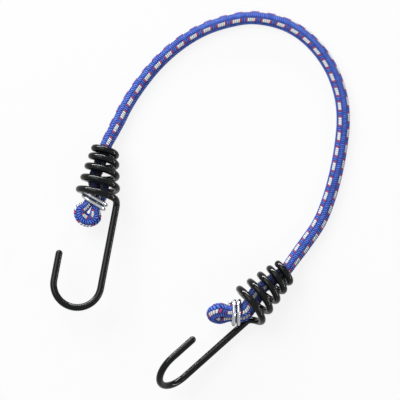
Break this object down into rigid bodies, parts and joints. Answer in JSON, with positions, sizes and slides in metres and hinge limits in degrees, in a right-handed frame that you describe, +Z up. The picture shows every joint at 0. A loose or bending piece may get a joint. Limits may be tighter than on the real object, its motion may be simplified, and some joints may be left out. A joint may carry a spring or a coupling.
{
  "type": "bungee cord",
  "caption": "Short elastic cord with a coated wire hook on a conical coil at each end, laid in an open arc.",
  "frame": {"origin": "on the resting plane under the middle of the free cord", "axes": "+X and +Y lie in the resting plane, to the right and up as the cord is seen from above, and +Z is up"},
  "size_m": [0.1784, 0.2246, 0.0355],
  "materials": {
    "braid": "braided synthetic yarn, blue with white and red tracers",
    "rubber": "natural rubber strands",
    "coating": "glossy dipped vinyl",
    "steel": "drawn wire, bare at the cut",
    "zinc": "bright zinc plate"
  },
  "bodies": {
    "left_end": {"free_cord_sheath": "braid", "free_cord_rubber": "rubber", "left_eye_sheath": "braid", "left_eye_rubber": "rubber", "left_clamp_wire": "zinc"},
    "left_hook": {"left_hook_wire": "steel", "left_hook_coating": "coating"},
    "right_end": {"right_eye_sheath": "braid", "right_eye_rubber": "rubber", "right_clamp_wire": "zinc"},
    "right_hook": {"right_hook_wire": "steel", "right_hook_coating": "coating"}
  },
  "joints": [
    {"name": "cord_stretch", "type": "slide", "parent": "left_end", "child": "right_end", "axis": [0.827, -0.5623, 0], "range_m": [0, 0.2], "stiffness_N_per_m": 400, "deforming": ["free_cord_sheath", "free_cord_rubber"]},
    {"name": "left_hook_swivel", "type": "hinge", "parent": "left_end", "child": "left_hook", "pos_m": [-0.11688, -0.06933, 0.00825], "axis": [-0.157, -0.9694, 0.1885], "range_deg": [-120, 150]},
    {"name": "right_hook_swivel", "type": "hinge", "parent": "right_end", "child": "right_hook", "pos_m": [-0.01009, -0.14215, 0.00827], "axis": [-0.7055, -0.686, 0.1781], "range_deg": [-40, 180]}
  ]
}
